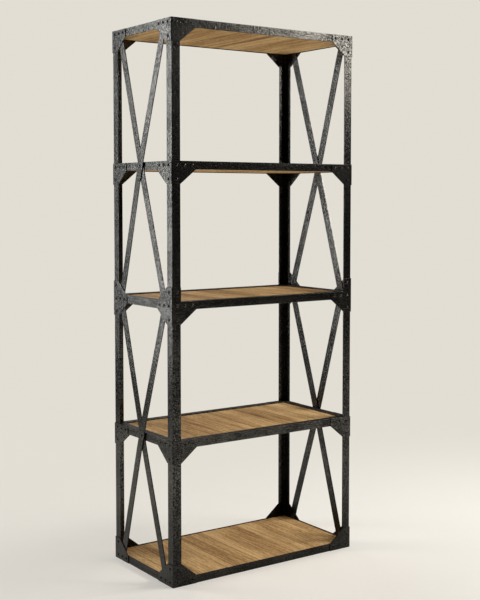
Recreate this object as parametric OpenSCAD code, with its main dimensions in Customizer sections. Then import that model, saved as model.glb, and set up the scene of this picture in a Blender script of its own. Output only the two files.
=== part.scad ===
// Open bookcase: four angle-iron posts, five riveted shelf frames with a wooden panel in each,
// folded corner gussets, and two crossed pairs of flat braces on the left and the right side.
// The origin is the middle of the footprint on the floor. The front looks along -Y, and +Z is up.

/* [Overall size] */
// Width over the outer faces of the posts
frame_w = 894; // [500:1:1500]
// Depth over the outer faces of the posts
frame_d = 462; // [360:1:700]
// Height from the floor to the top of the posts
frame_h = 2200; // [1400:10:3000]

/* [Posts] */
// Leg of the post angle
post_leg = 38; // [30:0.5:50]
// Thickness of the post angle
post_t = 4; // [3:0.5:6]

/* [Shelf frames] */
// Leg of the rail angle, which is the height of a rail's face
rail_leg = 32; // [28:0.5:44]
// Thickness of the rail angle
rail_t = 4; // [3:0.5:6]

/* [Shelf panels] */
// Thickness of a wooden panel
panel_t = 25; // [18:0.5:36]
// Gap left around a panel inside its frame
panel_gap = 1; // [0.5:0.5:4]

/* [Corner gussets] */
// Thickness of the folded gusset plate
gusset_t = 3; // [2:0.5:4]
// Reach of a gusset along a rail from the corner of the post
gusset_reach = 108; // [96:1:140]
// Drop of a gusset along the post from the middle of the rail
gusset_drop = 72; // [56:1:110]

/* [Rivets] */
// Diameter of a rivet's domed head
head_d = 13; // [9:0.5:15]
// Height of a rivet's domed head
head_h = 3.5; // [2:0.25:4.5]
// Diameter of a rivet's shank
shank_d = 7; // [5:0.5:8]
// Distance from a gusset's edge to the nearest rivet
rivet_edge = 18; // [14:0.5:22]

/* [Side braces] */
// Width of a brace bar
brace_w = 36; // [20:1:40]
// Thickness of a brace bar
brace_t = 4; // [3:0.5:6]
// Gap between the end of a brace and the post beside it
brace_gap = 1; // [1:0.5:6]

/* [Panel screws] */
// Diameter of a screw's thread
screw_d = 4; // [3:0.5:5]
// Length of a screw
screw_l = 20; // [14:1:22]
// Diameter of a screw's countersunk head
screw_head_d = 8; // [6:0.5:10]
// Screws along the front and along the back of each panel
screws_long = 4; // [2:1:6]
// Screws along the left and along the right of each panel
screws_short = 2; // [1:1:3]

/* [Hidden] */
$fn = 48;
LEVELS = ["bottom", "lower", "middle", "upper", "top"];
last_level = len(LEVELS) - 1;
middle_level = last_level / 2;
LONG_SIDES = ["front", "back"];
SHORT_SIDES = ["left", "right"];
LAYERS = ["inner", "outer"];
STAGES = ["lower", "upper"];

// Shapes that keep their proportions: the spread and height of a rivet's tail, half the flat middle
// of a brace as a multiple of its width, and a screw's slot as shares of its thread and its head
TAIL_SPREAD = 3;
TAIL_H = 1.5;
BRACE_FLAT_WIDTHS = 1.7;
SLOT_W_SHARE = 1 / 4;
SLOT_H_SHARE = 1 / 3;

steel = [0.16, 0.16, 0.15];
plate = [0.2, 0.2, 0.19];
bar = [0.23, 0.23, 0.22];
rivet = [0.3, 0.3, 0.29];
wood = [0.68, 0.52, 0.34];

// Levels: each rail's lower edge stands one pitch above the one below it
pitch = (frame_h - rail_leg) / last_level;
rail_half = rail_leg / 2;
function rail_z(level) = level * pitch;
function row_z(level) = rail_z(level) + rail_half;

// The bottom frame has its inward leg on the floor. Every other frame has it on top.
function ledge_below(level) = level == 0;
function ledge_z(level) = rail_z(level) + (ledge_below(level) ? 0 : rail_leg - rail_t);
function panel_z(level) = ledge_below(level) ? ledge_z(level) + rail_t : ledge_z(level) - panel_t;
corner_t = max(post_t, rail_t);
corner_leg = max(post_leg, rail_leg);
panel_inset = corner_t + panel_gap;

// Rivets: the first sits in the middle of the post's flat, the last near the end of the gusset
first_rivet = (post_leg + post_t) / 2;
last_rivet = gusset_reach - rivet_edge;
middle_rivet = (first_rivet + last_rivet) / 2;
post_rivet_drop = gusset_drop - rivet_edge;
head_sphere_r = (pow(head_d / 2, 2) + pow(head_h, 2)) / (2 * head_h);
tail_d = shank_d + TAIL_SPREAD;

// Braces: each axis runs between the rows of rivets of two frames, two levels apart
brace_inset = post_leg + brace_gap + brace_w / 2;
brace_run = frame_d - 2 * brace_inset;
brace_rise = middle_level * pitch;
brace_len = norm([brace_run, brace_rise]);
brace_lean = atan2(brace_run, brace_rise);
brace_seat = gusset_drop + brace_w / 2;
brace_flat = brace_w * BRACE_FLAT_WIDTHS;

// Screws: in the middle of the ledge, between the gussets' ends
screw_line = rail_leg / 2 + rail_t / 2;
screw_head_h = (screw_head_d - screw_d) / 2;
slot_w = screw_d * SLOT_W_SHARE;
slot_h = screw_head_h * SLOT_H_SHARE;
function spread(count, length) = [for (i = [0:count - 1]) length * ((i + 0.5) / count - 0.5)];

function sign_x(side) = side == "right" ? 1 : -1;
function sign_y(side) = side == "back" ? 1 : -1;

// Puts a corner drawn at the front left, with the post's outer edge on the Z axis, at its own corner
module at_corner(side_y, side_x) {
    sx = sign_x(side_x);
    sy = sign_y(side_y);
    translate([sx * frame_w / 2, sy * frame_d / 2, 0])
        mirror([sx > 0 ? 1 : 0, 0, 0])
            mirror([0, sy > 0 ? 1 : 0, 0])
                children();
}

// Swaps X and Y, so that a thing drawn on the front face lies on the left face
module on_side_face() {
    mirror([1, -1, 0])
        children();
}

// Volume of one rivet: its head stands out along -Y from y = -under, its tail is flush at y = grip
module rivet_volume(under, grip) {
    rotate([-90, 0, 0]) {
        translate([0, 0, -under])
            cylinder(d = shank_d, h = under + grip);
        translate([0, 0, grip - TAIL_H])
            cylinder(d1 = shank_d, d2 = tail_d, h = TAIL_H);
        intersection() {
            translate([0, 0, head_sphere_r - head_h - under])
                sphere(r = head_sphere_r);
            translate([0, 0, -under - head_h])
                cylinder(d = head_d, h = head_h);
        }
    }
}

// Volume of one panel screw: its head is flush with z = 0 and its thread points along +Z
module screw_volume() {
    cylinder(d1 = screw_head_d, d2 = screw_d, h = screw_head_h);
    cylinder(d = screw_d, h = screw_l);
}

// Rivets of one wing of a corner, in that wing's face: a row along the rail and one or two on the post
module wing_rivets(level, under) {
    for (x = [middle_rivet, last_rivet])
        translate([x, 0, row_z(level)])
            rivet_volume(under, rail_t);
    translate([first_rivet, 0, row_z(level)])
        rivet_volume(under, post_t);
    for (way = post_ways(level))
        translate([first_rivet, 0, row_z(level) + way * post_rivet_drop])
            rivet_volume(under, post_t);
}

// Ways along the post that a gusset points: up at the bottom, both ways in the middle, else down
function post_ways(level) = level == 0 ? [1] : level == middle_level ? [1, -1] : [-1];

// All the rivets of one corner at one level
module corner_rivet_set(level) {
    wing_rivets(level, gusset_t);
    on_side_face()
        wing_rivets(level, gusset_t);
}

module post(side_y, side_x) {
    color(steel)
        at_corner(side_y, side_x)
            difference() {
                union() {
                    cube([post_leg, post_t, frame_h]);
                    cube([post_t, post_leg, frame_h]);
                }
                for (level = [0:last_level])
                    corner_rivet_set(level);
            }
}

// Front or back rail: its face stops at the posts and its ledge runs on behind them
module long_rail(level, side_y) {
    sy = sign_y(side_y);
    face_l = frame_w - 2 * post_leg;
    ledge_l = frame_w - 2 * corner_t;
    color(steel)
        difference() {
            translate([0, sy * frame_d / 2, 0])
                mirror([0, sy > 0 ? 1 : 0, 0]) {
                    translate([-face_l / 2, 0, rail_z(level)])
                        cube([face_l, rail_t, rail_leg]);
                    translate([-face_l / 2, 0, ledge_z(level)])
                        cube([face_l, rail_leg, rail_t]);
                    translate([-ledge_l / 2, post_t, ledge_z(level)])
                        cube([ledge_l, rail_leg - post_t, rail_t]);
                }
            for (side_x = SHORT_SIDES)
                at_corner(side_y, side_x)
                    wing_rivets(level, gusset_t);
            at_screws(level)
                screw_volume();
        }
}

// Left or right rail: its face stops at the posts and its ledge stops at the long rails' ledges
module short_rail(level, side_x) {
    sx = sign_x(side_x);
    face_l = frame_d - 2 * post_leg;
    ledge_l = frame_d - 2 * corner_leg;
    behind_l = frame_d - 2 * rail_leg;
    color(steel)
        difference() {
            translate([sx * frame_w / 2, 0, 0])
                mirror([sx > 0 ? 1 : 0, 0, 0]) {
                    translate([0, -face_l / 2, rail_z(level)])
                        cube([rail_t, face_l, rail_leg]);
                    translate([0, -ledge_l / 2, ledge_z(level)])
                        cube([rail_leg, ledge_l, rail_t]);
                    translate([corner_t, -behind_l / 2, ledge_z(level)])
                        cube([rail_leg - corner_t, behind_l, rail_t]);
                }
            for (side_y = LONG_SIDES)
                at_corner(side_y, side_x)
                    on_side_face()
                        wing_rivets(level, gusset_t);
            at_screws(level)
                screw_volume();
            if (level % middle_level == middle_level / 2)
                crossing_rivet(level, side_x);
        }
}

module shelf_panel(level) {
    panel_w = frame_w - 2 * panel_inset;
    panel_d = frame_d - 2 * panel_inset;
    color(wood)
        difference() {
            translate([-panel_w / 2, -panel_d / 2, panel_z(level)])
                cube([panel_w, panel_d, panel_t]);
            at_screws(level)
                screw_volume();
        }
}

// Puts a screw drawn on the Z axis at each place of one frame, head outwards on the ledge
module at_screws(level) {
    x_line = frame_w / 2 - screw_line;
    y_line = frame_d / 2 - screw_line;
    places = concat(
        [for (x = spread(screws_long, frame_w - 2 * gusset_reach), y = [-y_line, y_line]) [x, y]],
        [for (y = spread(screws_short, frame_d - 2 * gusset_reach), x = [-x_line, x_line]) [x, y]]
    );
    for (place = places)
        translate([place[0], place[1], ledge_z(level) + (ledge_below(level) ? 0 : rail_t)])
            mirror([0, 0, ledge_below(level) ? 0 : 1])
                children();
}

// Whether a wing has the sloping part that braces the corner. On a middle gusset the wing along
// a long rail has it below the rail only.
function slopes(level, way, beside_long_rail) =
    !(beside_long_rail && level == middle_level && way > 0);

// Outline of one wing: X runs along the rail and Y up from the middle of the rail
module wing_outline(level, beside_long_rail) {
    translate([0, -rail_half])
        square([gusset_reach, rail_leg]);
    for (way = post_ways(level)) {
        base = slopes(level, way, beside_long_rail) ? gusset_reach : post_leg;
        polygon([
            [0, way * rail_half],
            [base, way * rail_half],
            [post_leg, way * gusset_drop],
            [0, way * gusset_drop]
        ]);
    }
}

// One wing of a gusset, lying on the front face
module wing(level, beside_long_rail) {
    translate([0, 0, row_z(level)])
        rotate([90, 0, 0])
            linear_extrude(height = gusset_t)
                wing_outline(level, beside_long_rail);
}

// Rounded fold that joins the two wings around the post's edge
module fold(level) {
    ways = post_ways(level);
    foot = min(ways) < 0 ? gusset_drop : rail_half;
    top = max(ways) > 0 ? gusset_drop : rail_half;
    translate([0, 0, row_z(level) - foot])
        intersection() {
            cylinder(r = gusset_t, h = foot + top);
            translate([-gusset_t, -gusset_t, 0])
                cube([gusset_t, gusset_t, foot + top]);
        }
}

module gusset(level, side_y, side_x) {
    color(plate)
        at_corner(side_y, side_x)
            difference() {
                union() {
                    wing(level, true);
                    on_side_face()
                        wing(level, false);
                    fold(level);
                }
                corner_rivet_set(level);
            }
}

// One brace bar seen along its width: X runs along the bar from its middle, Y is how far it stands
// out of the post's plane. Its ends lie in that plane, and its middle lies on the rail or on the
// bar that crosses under it.
module brace_profile(layer) {
    out = layer * brace_t;
    seat = brace_len / 2 - brace_seat;
    spine = [
        [-brace_len / 2, 0], [-seat, 0], [-brace_flat, out],
        [brace_flat, out], [seat, 0], [brace_len / 2, 0]
    ];
    polygon(concat(
        spine,
        [for (i = [len(spine) - 1:-1:0]) spine[i] - [0, brace_t]]
    ));
}

// Rivet through both bars and the rail where they cross
module crossing_rivet(level, side_x) {
    at_corner("front", side_x)
        on_side_face()
            translate([frame_d / 2, 0, row_z(level)])
                rivet_volume(2 * brace_t, rail_t);
}

// One brace bar. The outer bar leans to the front as it rises and the inner one to the back.
// Both ends are cut level and stand on the edges of the rails, behind the gussets.
module brace(stage, side_x, layer) {
    foot_level = stage * middle_level;
    cross_level = foot_level + middle_level / 2;
    foot_z = rail_z(foot_level) + rail_leg;
    top_z = rail_z(foot_level + middle_level);
    slab_t = 2 * (len(LAYERS) + 1) * brace_t;
    color(bar)
        difference() {
            mirror([sign_x(side_x) > 0 ? 1 : 0, 0, 0])
                translate([-frame_w / 2, 0, 0])
                    intersection() {
                        translate([0, 0, row_z(cross_level)])
                            rotate([layer == 2 ? brace_lean : -brace_lean, 0, 0])
                                rotate([90, -90, 0])
                                    linear_extrude(height = brace_w, center = true)
                                        brace_profile(layer);
                        translate([-slab_t / 2, -frame_d / 2, foot_z])
                            cube([slab_t, frame_d, top_z - foot_z]);
                    }
            crossing_rivet(cross_level, side_x);
        }
}

module corner_rivets() {
    color(rivet)
        for (level = [0:last_level], side_y = LONG_SIDES, side_x = SHORT_SIDES)
            at_corner(side_y, side_x)
                corner_rivet_set(level);
}

module brace_rivets() {
    color(rivet)
        for (stage = [0:len(STAGES) - 1], side_x = SHORT_SIDES)
            crossing_rivet(stage * middle_level + middle_level / 2, side_x);
}

module panel_screws() {
    color(rivet)
        for (level = [0:last_level])
            at_screws(level)
                difference() {
                    screw_volume();
                    cube([screw_head_d, slot_w, 2 * slot_h], center = true);
                }
}

for (side_y = LONG_SIDES, side_x = SHORT_SIDES)
    post(side_y, side_x);
for (level = [0:last_level], side = LONG_SIDES)
    long_rail(level, side);
for (level = [0:last_level], side = SHORT_SIDES)
    short_rail(level, side);
for (level = [0:last_level])
    shelf_panel(level);
for (level = [0:last_level], side_y = LONG_SIDES, side_x = SHORT_SIDES)
    gusset(level, side_y, side_x);
for (stage = [0:len(STAGES) - 1], side_x = SHORT_SIDES, layer = [0:len(LAYERS) - 1])
    brace(stage, side_x, layer + 1);
corner_rivets();
brace_rivets();
panel_screws();
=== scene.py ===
"""Looks of an open bookcase: angle-iron posts and shelf frames, folded and riveted corner gussets,
crossed flat braces on both sides, and an edge-glued wooden panel in each frame."""

import logging
import math
import random
from dataclasses import dataclass
from enum import Enum
from typing import Any, Union

import bmesh
import bpy
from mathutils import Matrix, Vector


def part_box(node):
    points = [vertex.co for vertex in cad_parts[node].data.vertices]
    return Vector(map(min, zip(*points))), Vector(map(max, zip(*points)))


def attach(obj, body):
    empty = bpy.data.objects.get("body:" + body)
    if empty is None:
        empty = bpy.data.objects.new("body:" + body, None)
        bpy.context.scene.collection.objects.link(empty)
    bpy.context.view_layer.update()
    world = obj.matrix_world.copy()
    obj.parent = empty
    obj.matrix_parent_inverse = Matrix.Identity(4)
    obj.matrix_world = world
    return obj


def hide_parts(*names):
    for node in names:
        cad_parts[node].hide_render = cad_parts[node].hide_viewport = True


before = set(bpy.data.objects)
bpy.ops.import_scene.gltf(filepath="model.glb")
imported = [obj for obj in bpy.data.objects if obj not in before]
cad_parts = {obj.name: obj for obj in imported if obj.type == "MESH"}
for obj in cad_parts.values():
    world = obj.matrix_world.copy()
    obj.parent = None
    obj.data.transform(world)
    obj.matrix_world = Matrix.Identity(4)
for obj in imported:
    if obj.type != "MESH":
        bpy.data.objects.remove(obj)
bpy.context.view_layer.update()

log = logging.getLogger("bookcase")

Colour = tuple[float, float, float]
Place = tuple[float, float, float]
Span = tuple[float, float]
Term = Union["Reading", float]

MILLIMETRE = 0.001
BODY = "root"
BLACK: Colour = (0.0, 0.0, 0.0)
COOL: Colour = (0.955, 0.98, 1.0)
WARM: Colour = (1.0, 0.97, 0.92)
# The most that a pattern is moved between two steel pieces, and between two staves, along X, Y and Z
PIECE_SHIFT: Place = (17.0, 29.0, 41.0)
CUT_SHIFT: Place = (3.7, 11.3, 5.1)
# A stave has eight faces along the grain and two ends
FACES_PER_STAVE = 10
# Width of the camera's frame in millimetres
FRAME_WIDTH = 36.0


def rgba(colour: Colour) -> tuple[float, float, float, float]:
    """The colour with full alpha, as a colour socket wants it."""
    return (*colour, 1.0)


@dataclass(frozen=True)
class Reading:
    """A number that changes over a surface, as one socket on a bench.

    Operators on readings and plain numbers add Math nodes to the bench.
    """

    bench: "Bench"
    socket: bpy.types.NodeSocket

    def __add__(self, other: Term) -> "Reading":
        """Sum."""
        return self.bench.worked("ADD", self, other)

    def __radd__(self, other: Term) -> "Reading":
        """Sum with the number first."""
        return self.bench.worked("ADD", other, self)

    def __sub__(self, other: Term) -> "Reading":
        """Difference."""
        return self.bench.worked("SUBTRACT", self, other)

    def __rsub__(self, other: Term) -> "Reading":
        """Difference from a number."""
        return self.bench.worked("SUBTRACT", other, self)

    def __mul__(self, other: Term) -> "Reading":
        """Product."""
        return self.bench.worked("MULTIPLY", self, other)

    def __rmul__(self, other: Term) -> "Reading":
        """Product with the number first."""
        return self.bench.worked("MULTIPLY", other, self)


@dataclass(frozen=True)
class Pattern:
    """A soft random pattern, and how much it counts in a finish.

    Attributes:
        per_metre: patches along a metre.
        detail: octaves of finer patches.
        rough: how strong the finer patches are.
        along: how much of that pace is left along the grain of wood, which runs along Y.
        share: how much it counts in the colour.
        lift: how much it counts in the height of the surface.
    """

    per_metre: float
    detail: float = 3.0
    rough: float = 0.55
    along: float = 1.0
    share: float = 0.0
    lift: float = 0.0


class Bench:
    """A node tree at work, and the one place where its nodes are made."""

    def __init__(self, tree: bpy.types.NodeTree) -> None:
        """Clears the tree and keeps it.

        Args:
            tree: the node tree of a material or of the world.
        """
        tree.nodes.clear()
        self.tree = tree

    def node(
        self, kind: str, settings: dict[str, Any] | None = None, sockets: dict[int | str, Any] | None = None
    ) -> bpy.types.Node:
        """Adds one node.

        Args:
            kind: the node's type.
            settings: its properties, set before the sockets. "stops" holds a ramp's stops, each a
                place and a colour.
            sockets: a value, a reading or another node's socket for each input, by name or index.

        Returns:
            The node.
        """
        made = self.tree.nodes.new(kind)
        for name, value in (settings or {}).items():
            if name == "stops":
                self._set_stops(made.color_ramp, value)
            else:
                setattr(made, name, value)
        for key, value in (sockets or {}).items():
            source = value.socket if isinstance(value, Reading) else value
            if isinstance(source, bpy.types.NodeSocket):
                self.tree.links.new(source, made.inputs[key])
            else:
                made.inputs[key].default_value = source
        return made

    @staticmethod
    def _set_stops(ramp: bpy.types.ColorRamp, stops: list[tuple[float, Colour]]) -> None:
        """Gives a ramp its stops.

        Args:
            ramp: the ramp of a new node, which has two stops.
            stops: places from 0 to 1 in rising order, each with its colour.
        """
        while len(ramp.elements) < len(stops):
            ramp.elements.new(1.0)
        for element, (place, colour) in zip(ramp.elements, stops):
            element.position = place
            element.color = rgba(colour)

    def worked(self, operation: str, *terms: Term) -> Reading:
        """Adds a Math node.

        Args:
            operation: the name of the sum that it works out.
            terms: its readings or numbers.

        Returns:
            The result.
        """
        made = self.node("ShaderNodeMath", {"operation": operation}, dict(enumerate(terms)))
        return Reading(self, made.outputs[0])

    def spread(self, value: Reading, span: Span) -> Reading:
        """Eases a reading so that a span of it goes from 0 to 1.

        Args:
            value: the reading.
            span: where the result starts to rise, and where it is full.

        Returns:
            A reading between 0 and 1.
        """
        made = self.node(
            "ShaderNodeMapRange",
            {"interpolation_type": "SMOOTHSTEP"},
            {"Value": value, "From Min": span[0], "From Max": span[1]},
        )
        return Reading(self, made.outputs["Result"])

    def cloud(self, place: bpy.types.NodeSocket, pattern: Pattern) -> Reading:
        """Lays a soft random pattern.

        Args:
            place: coordinates in metres.
            pattern: the pattern.

        Returns:
            A reading around 0.5.
        """
        if pattern.along != 1.0:
            place = self.drawn_out(place, pattern.along)
        made = self.node(
            "ShaderNodeTexNoise",
            None,
            {
                "Vector": place,
                "Scale": pattern.per_metre,
                "Detail": pattern.detail,
                "Roughness": pattern.rough,
            },
        )
        return Reading(self, made.outputs[0])

    def drawn_out(self, place: bpy.types.NodeSocket, along: float) -> bpy.types.NodeSocket:
        """Coordinates that stretch a pattern along the grain.

        Args:
            place: coordinates in metres.
            along: how much of the pattern's pace is kept along the grain.

        Returns:
            The stretched coordinates.
        """
        return self.vector("MULTIPLY", place, (1.0, along, 1.0))

    def blend(self, share: Term, first: Any, second: Any) -> bpy.types.NodeSocket:
        """Mixes two colours.

        Args:
            share: how much of the second colour.
            first: the first colour or its socket.
            second: the second colour or its socket.

        Returns:
            The mixed colour's socket.
        """
        colours = {key: rgba(c) if isinstance(c, tuple) else c for key, c in ((6, first), (7, second))}
        made = self.node("ShaderNodeMix", {"data_type": "RGBA"}, {0: share, **colours})
        return made.outputs[2]

    def vector(self, operation: str, first: Any, second: Any) -> bpy.types.NodeSocket:
        """Works on two vectors.

        Args:
            operation: the name of the vector sum.
            first: a vector or its socket.
            second: a vector or its socket.

        Returns:
            The result's socket.
        """
        made = self.node("ShaderNodeVectorMath", {"operation": operation}, {0: first, 1: second})
        return made.outputs[0]

    def own_place(self) -> bpy.types.NodeSocket:
        """Coordinates in metres, moved apart for each piece so that no two share one pattern."""
        place = self.node("ShaderNodeTexCoord").outputs["Object"]
        lot = self.node("ShaderNodeObjectInfo").outputs["Random"]
        move = self.node("ShaderNodeCombineXYZ", None, {0: lot, 1: lot, 2: lot}).outputs[0]
        return self.vector("ADD", place, self.vector("MULTIPLY", move, PIECE_SHIFT))

    def cover(self, sockets: dict[str, Any]) -> None:
        """Adds a material's shader and its output.

        Args:
            sockets: a value, a reading or another node's socket for each input of the shader.
        """
        shader = self.node("ShaderNodeBsdfPrincipled", None, sockets)
        self.node("ShaderNodeOutputMaterial", None, {"Surface": shader.outputs[0]})


def blank_finish(name: str) -> tuple[bpy.types.Material, Bench]:
    """Starts a material.

    Args:
        name: the material's name.

    Returns:
        The material, and the bench on which it is worked.
    """
    material = bpy.data.materials.new(name)
    material.use_nodes = True
    return material, Bench(material.node_tree)


@dataclass(frozen=True)
class BlackenedSteel:
    """Hot-rolled steel with a waxed black finish: mottled, granular, rubbed lighter along its edges, with
    painted shade in inner corners and down near the floor.

    Attributes:
        name: the material's name.
        deep: the blackest parts.
        thin: where the black has thinned.
        bare: the rubbed edges.
        metallic: how much of it shines as bare metal.
        dull: roughness of the blackest parts.
        sleek: roughness where the black has thinned.
        uneven: how much the roughness differs from grain to grain.
        relief: height of the granular surface in metres.
        raised: how strongly that height shows.
        patches: broad patches where the black has thinned.
        mottle: blotches within them.
        grain: the scale's own grain.
        dimples_per_metre: dimples along a metre.
        dimple_softness: how softly they run into each other.
        dimple_lift: how much they count in the height of the surface.
        thin_span: values of the mixed patterns between which the black goes from deep to thin.
        rubbed: strength of the wear along edges.
        edge_width: how far an edge's wear reaches in metres.
        least_worn: the wear where the mottle is lowest.
        worn_span: the sharpness of an edge over which the wear grows.
        painted_corner_shade: strength of the painted shade in inner corners.
        corner_reach: how far that painted shade reaches in metres.
        corner_span: the openness of a corner over which the painted shade fades.
        painted_floor_shade: how much darker the steel is painted down at the floor, as painted shade.
        floor_shade_span: heights between which that painted shade fades.
        dusty: how much rougher it is where it faces up.
        upward_span: the upward part of the normal over which that grows.
    """

    name: str
    deep: Colour = (0.013, 0.0124, 0.0113)
    thin: Colour = (0.132, 0.1267, 0.1162)
    bare: Colour = (0.24, 0.235, 0.225)
    metallic: float = 0.94
    dull: float = 0.29
    sleek: float = 0.18
    uneven: float = 0.12
    relief: float = 0.9 * MILLIMETRE
    raised: float = 0.85
    patches: Pattern = Pattern(11.0, share=0.2)
    mottle: Pattern = Pattern(90.0, rough=0.6, share=0.2, lift=0.5)
    grain: Pattern = Pattern(235.0, detail=1.5, rough=0.5, share=0.6, lift=0.6)
    dimples_per_metre: float = 130.0
    dimple_softness: float = 0.6
    dimple_lift: float = 0.35
    thin_span: Span = (0.42, 0.62)
    rubbed: float = 0.7
    edge_width: float = 2.2 * MILLIMETRE
    least_worn: float = 0.45
    worn_span: Span = (0.08, 0.5)
    painted_corner_shade: float = 0.85
    corner_reach: float = 5.0 * MILLIMETRE
    corner_span: Span = (0.35, 0.95)
    painted_floor_shade: float = 0.72
    floor_shade_span: Span = (0.04, 0.5)
    dusty: float = 0.34
    upward_span: Span = (0.6, 0.95)

    def make(self) -> bpy.types.Material:
        """Builds the material.

        Returns:
            The material.
        """
        material, bench = blank_finish(self.name)
        place = bench.own_place()
        patches = bench.cloud(place, self.patches)
        mottle = bench.cloud(place, self.mottle)
        grain = bench.cloud(place, self.grain)
        mixed = patches * self.patches.share + mottle * self.mottle.share + grain * self.grain.share
        thinned = bench.spread(mixed, self.thin_span)
        worn = bench.spread(self._edge(bench) * (self.least_worn + mottle), self.worn_span) * self.rubbed
        colour = bench.blend(worn, bench.blend(thinned, self.deep, self.thin), self.bare)
        # painted shade: the colour is darkened toward deep black in inner corners, round rivets and along
        # plate borders
        colour = bench.blend(self._corner(bench) * self.painted_corner_shade, colour, self.deep)
        # painted shade: the colour is darkened toward deep black near the floor, where the light falls off
        colour = bench.blend(self._nearness_to_floor(bench) * self.painted_floor_shade, colour, self.deep)
        rough = self.dull - (self.dull - self.sleek) * thinned + self.uneven * (grain - 0.5)
        rough = rough + self._facing_up(bench) * self.dusty
        dimples = bench.node(
            "ShaderNodeTexVoronoi",
            {"feature": "SMOOTH_F1"},
            {"Vector": place, "Scale": self.dimples_per_metre, "Smoothness": self.dimple_softness},
        )
        surface = grain * self.grain.lift + mottle * self.mottle.lift
        surface = surface + Reading(bench, dimples.outputs["Distance"]) * self.dimple_lift
        bump = bench.node(
            "ShaderNodeBump", None, {"Strength": self.raised, "Distance": self.relief, "Height": surface}
        )
        bench.cover(
            {"Base Color": colour, "Roughness": rough, "Metallic": self.metallic, "Normal": bump.outputs[0]}
        )
        return material

    def _nearness_to_floor(self, bench: Bench) -> Reading:
        """How near a spot is to the floor, which sets the painted shade there.

        Args:
            bench: the material's bench.

        Returns:
            1 at the floor, 0 above the span.
        """
        place = bench.node("ShaderNodeTexCoord").outputs["Object"]
        height = bench.node("ShaderNodeSeparateXYZ", None, {0: place}).outputs[2]
        return 1.0 - bench.spread(Reading(bench, height), self.floor_shade_span)

    def _facing_up(self, bench: Bench) -> Reading:
        """How far a spot faces up, where dust and use have dulled it.

        Args:
            bench: the material's bench.

        Returns:
            1 on a level top, 0 on an upright face.
        """
        normal = bench.node("ShaderNodeNewGeometry").outputs["Normal"]
        upward = bench.node("ShaderNodeSeparateXYZ", None, {0: normal}).outputs[2]
        return bench.spread(Reading(bench, upward), self.upward_span)

    def _corner(self, bench: Bench) -> Reading:
        """How deep a spot lies in an inner corner, such as round a rivet or under a plate's border, where
        painted shade is laid.

        Args:
            bench: the material's bench.

        Returns:
            0 in the open, rising in a corner.
        """
        made = bench.node("ShaderNodeAmbientOcclusion", {"samples": 6}, {"Distance": self.corner_reach})
        return 1.0 - bench.spread(Reading(bench, made.outputs["AO"]), self.corner_span)

    def _edge(self, bench: Bench) -> Reading:
        """How near a spot is to an edge.

        Args:
            bench: the material's bench.

        Returns:
            0 on a flat face, rising at an edge.
        """
        rounded = bench.node("ShaderNodeBevel", {"samples": 4}, {"Radius": self.edge_width}).outputs[0]
        flat = bench.node("ShaderNodeNewGeometry").outputs["Normal"]
        facing = bench.node("ShaderNodeVectorMath", {"operation": "DOT_PRODUCT"}, {0: rounded, 1: flat})
        return 1.0 - Reading(bench, facing.outputs["Value"])


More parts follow.
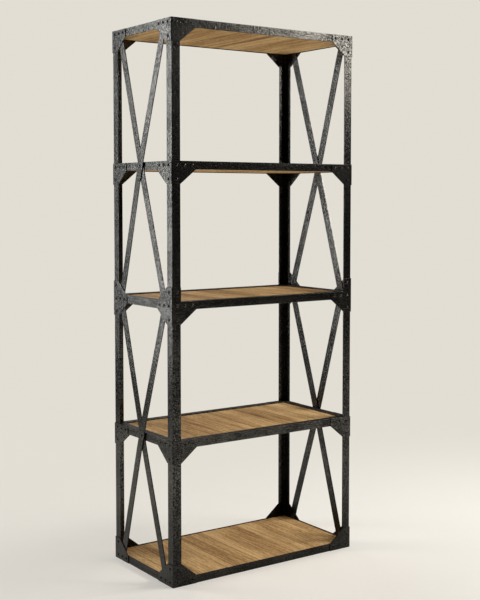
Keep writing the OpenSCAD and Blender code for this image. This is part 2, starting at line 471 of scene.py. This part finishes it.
@dataclass(frozen=True)
class OiledWood:
    """Edge-glued hardwood under oil, with grain from front to back.

    Attributes:
        name: the material's name.
        pale: the lightest wood between the streaks.
        middle: the usual tone.
        brown: the dark streaks.
        umber: the darkest streaks, and the pores.
        stops: places of these four tones from 0 to 1.
        depth_span: the depth of tone over which the stops are run through.
        tone_share: how much a stave's own tone counts.
        broad: broad bands along the grain.
        streaks: the streaks that give the figure.
        fibres: fibres and pores.
        rings_per_metre: growth rings along a metre, before they are bent.
        rings_along: how much of that pace is left along the grain.
        rings_share: how much the rings count.
        pore_span: the height of the fibres over which a pore opens.
        porous: strength of the pores.
        smudges: brown smudges.
        smudge_span: the strength of a smudge over which it shows.
        stained: how dark a full smudge is.
        matt: roughness where there are no streaks or pores.
        matt_streaks: how much rougher the streaks are.
        matt_pores: how much rougher the pores are.
        relief: height of the grain in metres.
        raised: how strongly that height shows.
        glossy: strength of the oil's reflection.
    """

    name: str
    pale: Colour = (0.87, 0.605, 0.295)
    middle: Colour = (0.60, 0.374, 0.16)
    brown: Colour = (0.295, 0.165, 0.066)
    umber: Colour = (0.12, 0.066, 0.03)
    stops: tuple[float, float, float, float] = (0.2, 0.5, 0.82, 1.0)
    depth_span: Span = (0.49, 1.17)
    tone_share: float = 0.22
    broad: Pattern = Pattern(24.0, along=0.1, share=0.36)
    streaks: Pattern = Pattern(110.0, detail=4.0, rough=0.66, along=0.05, share=0.52, lift=0.4)
    fibres: Pattern = Pattern(360.0, rough=0.65, along=0.13, share=0.5, lift=0.6)
    rings_per_metre: float = 17.0
    rings_along: float = 0.09
    rings_share: float = 0.06
    pore_span: Span = (0.58, 0.7)
    porous: float = 0.36
    smudges: Pattern = Pattern(9.0, detail=4.0, rough=0.6, along=0.3)
    smudge_span: Span = (0.58, 0.76)
    stained: float = 0.45
    matt: float = 0.58
    matt_streaks: float = 0.16
    matt_pores: float = 0.2
    relief: float = 0.25 * MILLIMETRE
    raised: float = 0.5
    glossy: float = 0.15

    def make(self) -> bpy.types.Material:
        """Builds the material. It reads the tone and the cut that each stave carries.

        Returns:
            The material.
        """
        material, bench = blank_finish(self.name)
        tone = self._carried(bench, Carried.TONE)
        cut = self._carried(bench, Carried.CUT)
        place = bench.node("ShaderNodeTexCoord").outputs["Object"]
        shift = {axis: cut * reach for axis, reach in enumerate(CUT_SHIFT)}
        place = bench.vector("ADD", place, bench.node("ShaderNodeCombineXYZ", None, shift).outputs[0])
        broad = bench.cloud(place, self.broad)
        streaks = bench.cloud(place, self.streaks)
        fibres = bench.cloud(place, self.fibres)
        smudges = bench.cloud(place, self.smudges)
        rings = bench.node(
            "ShaderNodeTexWave",
            {"wave_type": "BANDS", "bands_direction": "X"},
            {
                "Vector": bench.drawn_out(place, self.rings_along),
                "Scale": self.rings_per_metre,
                "Distortion": 7.5,
                "Detail": 3.0,
                "Detail Scale": 1.1,
                "Detail Roughness": 0.6,
            },
        )
        growth = Reading(bench, rings.outputs["Fac"])
        depth = tone * self.tone_share + broad * self.broad.share + streaks * self.streaks.share
        depth = depth + growth * self.rings_share + fibres * self.fibres.share
        tones = (self.pale, self.middle, self.brown, self.umber)
        wood = bench.node(
            "ShaderNodeValToRGB",
            {"stops": list(zip(self.stops, tones))},
            {0: bench.spread(depth, self.depth_span)},
        ).outputs[0]
        pores = bench.spread(fibres, self.pore_span) * self.porous
        stained = bench.spread(smudges, self.smudge_span) * self.stained
        colour = bench.blend(stained, bench.blend(pores, wood, self.umber), self.brown)
        surface = streaks * self.streaks.lift + fibres * self.fibres.lift - pores
        bump = bench.node(
            "ShaderNodeBump", None, {"Strength": self.raised, "Distance": self.relief, "Height": surface}
        )
        bench.cover(
            {
                "Base Color": colour,
                "Roughness": self.matt + self.matt_streaks * streaks + self.matt_pores * pores,
                "Specular IOR Level": self.glossy,
                "Normal": bump.outputs[0],
            }
        )
        return material

    @staticmethod
    def _carried(bench: Bench, what: "Carried") -> Reading:
        """Reads a number that a stave carries.

        Args:
            bench: the material's bench.
            what: which number.

        Returns:
            The reading.
        """
        made = bench.node("ShaderNodeAttribute", {"attribute_name": what.value})
        return Reading(bench, made.outputs["Fac"])


@dataclass(frozen=True)
class PaleFloor:
    """Matt pale floor that melts into the pale air round it, far from the bookcase.

    Attributes:
        name: the material's name.
        air: colour of the air that it melts into.
        tone: its own colour.
        faint: its faint darker patches.
        darker: what share of its tone is left in them.
        melting: distances from its middle where it starts to melt and where only the air is left.
        glow: share of its own light, as on a lit table.
        matt: its roughness.
        glossy: strength of its reflection.
    """

    name: str
    air: Colour
    tone: Colour = (0.86, 0.84, 0.795)
    faint: Pattern = Pattern(5.0, detail=4.0)
    darker: float = 0.965
    melting: Span = (0.9, 3.7)
    glow: float = 0.33
    matt: float = 0.9
    glossy: float = 0.1

    def make(self) -> bpy.types.Material:
        """Builds the material.

        Returns:
            The material.
        """
        material, bench = blank_finish(self.name)
        place = bench.node("ShaderNodeTexCoord").outputs["Object"]
        away = bench.node("ShaderNodeVectorMath", {"operation": "LENGTH"}, {0: place})
        gone = bench.spread(Reading(bench, away.outputs["Value"]), self.melting)
        faint = bench.cloud(place, self.faint)
        darker = tuple(channel * self.darker for channel in self.tone)
        shine = tuple(channel * self.glow for channel in self.tone)
        bench.cover(
            {
                "Base Color": bench.blend(gone, bench.blend(faint, self.tone, darker), BLACK),
                "Roughness": self.matt,
                "Specular IOR Level": self.glossy,
                "Emission Color": bench.blend(gone, shine, self.air),
                "Emission Strength": 1.0,
            }
        )
        return material


class Carried(Enum):
    """Numbers that each stave carries for its finish."""

    TONE = "stave_tone"
    CUT = "stave_cut"


class Level(Enum):
    """Shelf levels, from the floor up."""

    BOTTOM = "bottom"
    LOWER = "lower"
    MIDDLE = "middle"
    UPPER = "upper"
    TOP = "top"


class Side(Enum):
    """Sides of the footprint."""

    FRONT = "front"
    BACK = "back"
    LEFT = "left"
    RIGHT = "right"


@dataclass
class Steelwork:
    """A group of steel parts that keep their modelled shape and get eased edges and a finish.

    Attributes:
        finish: the group's finish.
        ease: width of the eased edges in metres.
        ease_steps: flat steps across an eased edge.
        easing_from: the least angle of an edge that is eased, in degrees.
        join_within: distance under which two corners are one.
        flat_pull: how strongly large flat faces set the shading, up to 100.
    """

    finish: BlackenedSteel
    ease: float = 0.7 * MILLIMETRE
    ease_steps: int = 2
    easing_from: float = 40.0
    join_within: float = 0.01 * MILLIMETRE
    flat_pull: int = 100

    def names(self) -> list[str]:
        """Node names of the group, which each kind of steelwork lists."""
        raise NotImplementedError

    def build(self) -> None:
        """Eases and dresses every part of the group."""
        material = self.finish.make()
        for name in self.names():
            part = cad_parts[name]
            if self.ease:
                self._ease_edges(part)
            for slot in part.material_slots:
                slot.material = material
            log.info("%s: %s", name, self.finish.name)

    def _ease_edges(self, part: bpy.types.Object) -> None:
        """Rounds the sharp edges a little, and leaves the faces where they are.

        Args:
            part: the part's object.
        """
        joined = part.modifiers.new("joined", "WELD")
        joined.merge_threshold = self.join_within
        eased = part.modifiers.new("eased", "BEVEL")
        eased.width = self.ease
        eased.segments = self.ease_steps
        eased.limit_method = "ANGLE"
        eased.angle_limit = math.radians(self.easing_from)
        eased.use_clamp_overlap = True
        shaded = part.modifiers.new("shaded", "WEIGHTED_NORMAL")
        shaded.weight = self.flat_pull


@dataclass
class Posts(Steelwork):
    """The four angle-iron posts."""

    def names(self) -> list[str]:
        """Node names of the posts."""
        return [f"{y.value}_{x.value}_post" for y in (Side.FRONT, Side.BACK) for x in (Side.LEFT, Side.RIGHT)]


@dataclass
class ShelfFrames(Steelwork):
    """The four angle-iron rails of each of the five shelf frames."""

    def names(self) -> list[str]:
        """Node names of the rails."""
        return [f"{level.value}_{side.value}_rail" for level in Level for side in Side]


@dataclass
class CornerGussets(Steelwork):
    """The folded plates that tie the frames to the posts."""

    def names(self) -> list[str]:
        """Node names of the gussets."""
        return [
            f"{level.value}_{y.value}_{x.value}_gusset"
            for level in Level
            for y in (Side.FRONT, Side.BACK)
            for x in (Side.LEFT, Side.RIGHT)
        ]


@dataclass
class SideBraces(Steelwork):
    """The crossed pairs of flat bars on the left and on the right."""

    def names(self) -> list[str]:
        """Node names of the bars."""
        return [
            f"{stage.value}_{side.value}_{layer}_brace"
            for stage in (Level.LOWER, Level.UPPER)
            for side in (Side.LEFT, Side.RIGHT)
            for layer in ("inner", "outer")
        ]


@dataclass
class Fasteners(Steelwork):
    """The rivets and the panel screws, which keep their edges as they are."""

    ease: float = 0.0

    def names(self) -> list[str]:
        """Node names of the fasteners."""
        return ["corner_rivets", "brace_rivets", "panel_screws"]


@dataclass
class ShelfPanels:
    """The five wooden panels, each glued up from staves that run from front to back.

    Attributes:
        finish: the wood's finish.
        narrowest: least width of a stave in metres.
        widest: greatest width of a stave.
        seam: gap between two staves.
        chamfer: chamfer along a stave's long edges.
        shy: how far the panel stays inside the modelled one on each side.
        tone_spread: the two numbers of the beta distribution that the staves' tones follow.
        seed: start of the random widths and tones.
    """

    finish: OiledWood
    narrowest: float = 34 * MILLIMETRE
    widest: float = 88 * MILLIMETRE
    seam: float = 0.06 * MILLIMETRE
    chamfer: float = 0.22 * MILLIMETRE
    shy: float = 0.05 * MILLIMETRE
    tone_spread: Span = (2.0, 2.2)
    seed: int = 41

    def build(self) -> None:
        """Builds and dresses the panel of every level."""
        material = self.finish.make()
        for place, level in enumerate(Level):
            node = f"{level.value}_shelf_panel"
            lot = random.Random(self.seed + place)
            panel = self._panel(f"{level.value}_stave_panel", *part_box(node), lot)
            panel.data.materials.append(material)
            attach(panel, BODY)
            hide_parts(node)
            staves = len(panel.data.polygons) // FACES_PER_STAVE
            log.info("%s: %s, %d staves", panel.name, self.finish.name, staves)

    def _widths(self, whole: float, lot: random.Random) -> list[float]:
        """Divides a panel's width into staves.

        Args:
            whole: the panel's width.
            lot: the panel's random numbers.

        Returns:
            The widths of the staves, which add up to the whole.
        """
        widths: list[float] = []
        while sum(widths) < whole - self.narrowest:
            widths.append(lot.uniform(self.narrowest, self.widest))
        return [width * whole / sum(widths) for width in widths]

    def _panel(self, name: str, low: Vector, high: Vector, lot: random.Random) -> bpy.types.Object:
        """Builds one panel.

        Args:
            name: the piece's name.
            low: lowest corner of the modelled panel.
            high: its highest corner.
            lot: the panel's random numbers.

        Returns:
            The panel's object.
        """
        low, high = low + Vector([self.shy] * 3), high - Vector([self.shy] * 3)
        build = bmesh.new()
        tone = build.faces.layers.float.new(Carried.TONE.value)
        cut = build.faces.layers.float.new(Carried.CUT.value)
        left = low.x
        for width in self._widths(high.x - low.x, lot):
            numbers = lot.betavariate(*self.tone_spread), lot.random()
            for face in self._stave(build, left, left + width - self.seam, low, high):
                face[tone], face[cut] = numbers
            left += width
        mesh = bpy.data.meshes.new(name)
        build.to_mesh(mesh)
        build.free()
        panel = bpy.data.objects.new(name, mesh)
        bpy.context.scene.collection.objects.link(panel)
        return panel

    def _stave(
        self, build: bmesh.types.BMesh, left: float, right: float, low: Vector, high: Vector
    ) -> list[bmesh.types.BMFace]:
        """Adds one stave as a closed prism along the grain.

        Args:
            build: the panel's mesh under construction.
            left: the stave's left side.
            right: its right side.
            low: lowest corner of the panel.
            high: its highest corner.

        Returns:
            The stave's faces.
        """
        c = self.chamfer
        outline = [
            (left + c, low.z), (right - c, low.z), (right, low.z + c), (right, high.z - c),
            (right - c, high.z), (left + c, high.z), (left, high.z - c), (left, low.z + c),
        ]
        near, away = ([build.verts.new((x, y, z)) for x, z in outline] for y in (low.y, high.y))
        faces = [build.faces.new(near), build.faces.new(reversed(away))]
        for i in range(len(outline)):
            j = (i + 1) % len(outline)
            faces.append(build.faces.new((near[j], near[i], away[i], away[j])))
        return faces


@dataclass(frozen=True)
class Softbox:
    """A large soft studio light.

    Attributes:
        name: its name.
        stand: where it stands, in metres.
        aim: the spot it faces.
        width: its width.
        height: its height.
        power: its power in watts.
        tint: its colour.
        beam: angle of its beam in degrees.
    """

    name: str
    stand: Place
    aim: Place
    width: float
    height: float
    power: float
    tint: Colour = WARM
    beam: float = 180.0

    def put_up(self) -> None:
        """Adds the light to the scene."""
        light = bpy.data.lights.new(self.name, "AREA")
        light.shape, light.size, light.size_y = "RECTANGLE", self.width, self.height
        light.energy, light.color, light.spread = self.power, self.tint, math.radians(self.beam)
        holder = bpy.data.objects.new(self.name, light)
        holder.location = self.stand
        toward = Vector(self.aim) - Vector(self.stand)
        holder.rotation_euler = toward.to_track_quat("-Z", "Y").to_euler()
        holder.visible_camera = False
        bpy.context.scene.collection.objects.link(holder)


@dataclass
class Studio:
    """Pale floor, soft lights and the view.

    Attributes:
        floor_reach: radius of the floor in metres.
        floor_sides: sides of its outline.
        floor_middle: the middle of the floor's lit part.
        air: colour of the light from all round.
        air_strength: its strength.
        softboxes: the lights.
        eye: where the camera stands.
        heading: its direction clockwise from the back, in degrees.
        pitch: its angle above the horizon, in degrees.
        focal: focal length in millimetres.
        rise: vertical shift of the frame.
    """

    floor_reach: float = 4.7
    floor_sides: int = 96
    floor_middle: Place = (0.5, -1.5, 0.0)
    air: Colour = (0.76, 0.728, 0.655)
    air_strength: float = 1.0
    softboxes: tuple[Softbox, ...] = ()
    eye: Place = (-2.6258, -3.8103, 1.5161)
    heading: float = 34.879
    pitch: float = -3.248
    focal: float = 65.742
    rise: float = -0.0666

    def build(self) -> None:
        """Lays the floor, lights the scene and places the camera."""
        self._lay_floor()
        self._fill_air()
        for softbox in self.softboxes:
            softbox.put_up()
        self._place_camera()
        bpy.context.scene.view_settings.view_transform = "Standard"
        log.info("studio: floor, %d softboxes, camera", len(self.softboxes))

    def _lay_floor(self) -> None:
        """Adds the floor as one flat round sheet under the feet."""
        build = bmesh.new()
        bmesh.ops.create_circle(build, cap_ends=True, segments=self.floor_sides, radius=self.floor_reach)
        mesh = bpy.data.meshes.new("studio_floor")
        build.to_mesh(mesh)
        build.free()
        mesh.materials.append(PaleFloor("pale_floor", self.air).make())
        floor = bpy.data.objects.new("studio_floor", mesh)
        floor.location = self.floor_middle
        bpy.context.scene.collection.objects.link(floor)

    def _fill_air(self) -> None:
        """Gives the pale backdrop. It lights nothing: the softboxes do."""
        world = bpy.data.worlds.new("studio_air")
        world.use_nodes = True
        bench = Bench(world.node_tree)
        glow = bench.node(
            "ShaderNodeBackground", None, {"Color": rgba(self.air), "Strength": self.air_strength}
        )
        bench.node("ShaderNodeOutputWorld", None, {"Surface": glow.outputs[0]})
        bpy.context.scene.world = world
        world.cycles_visibility.diffuse = False
        world.cycles_visibility.glossy = False

    def _place_camera(self) -> None:
        """Adds the camera and makes it the scene's own."""
        view = bpy.data.cameras.new("view")
        view.lens, view.sensor_width, view.shift_y = self.focal, FRAME_WIDTH, self.rise
        camera = bpy.data.objects.new("view", view)
        camera.location = self.eye
        camera.rotation_euler = (math.radians(90 + self.pitch), 0.0, math.radians(-self.heading))
        bpy.context.scene.collection.objects.link(camera)
        bpy.context.scene.camera = camera


def main() -> None:
    """Builds and dresses the bookcase, then sets up the studio."""
    logging.basicConfig(level=logging.INFO, format="%(message)s")
    posts = Posts(BlackenedSteel("post_steel"))
    frames = ShelfFrames(BlackenedSteel("frame_steel"))
    gussets = CornerGussets(BlackenedSteel("gusset_steel_finish"))
    braces = SideBraces(BlackenedSteel("brace_steel_finish"))
    fasteners = Fasteners(
        BlackenedSteel(
            "rivet_steel_finish",
            thin=(0.085, 0.082, 0.077),
            dull=0.24,
            sleek=0.15,
            relief=0.1 * MILLIMETRE,
            rubbed=0.0,
        )
    )
    panels = ShelfPanels(OiledWood("oiled_wood"))
    for assembly in (posts, frames, gussets, braces, fasteners, panels):
        assembly.build()
    studio = Studio(
        softboxes=(
            Softbox("left_high", (-2.7, 2.4, 2.6), (-0.3, 0.0, 1.8), 1.4, 1.2, 10.5, COOL, 100.0),
            Softbox("left_low", (-2.7, 2.4, 1.22), (-0.3, 0.0, 1.22), 1.4, 1.56, 10.5, COOL, 100.0),
            Softbox("right_near", (2.5, -2.4, 2.9), (0.3, 0.0, 2.0), 1.2, 1.0, 32.0),
            Softbox("right_far", (3.1, -1.7, 3.0), (0.3, 0.0, 2.0), 1.2, 1.2, 75.0),
            Softbox("right_side", (3.4, 0.8, 2.2), (0.3, 0.0, 1.2), 1.6, 1.6, 20.0),
            Softbox("back", (1.0, 3.8, 2.6), (0.0, 0.0, 1.2), 2.0, 1.6, 20.0),
            Softbox("overhead", (0.0, -0.2, 5.2), (0.0, 0.0, 0.0), 5.0, 5.0, 50.0),
        ),
    )
    studio.build()


if __name__ == "__main__":
    main()
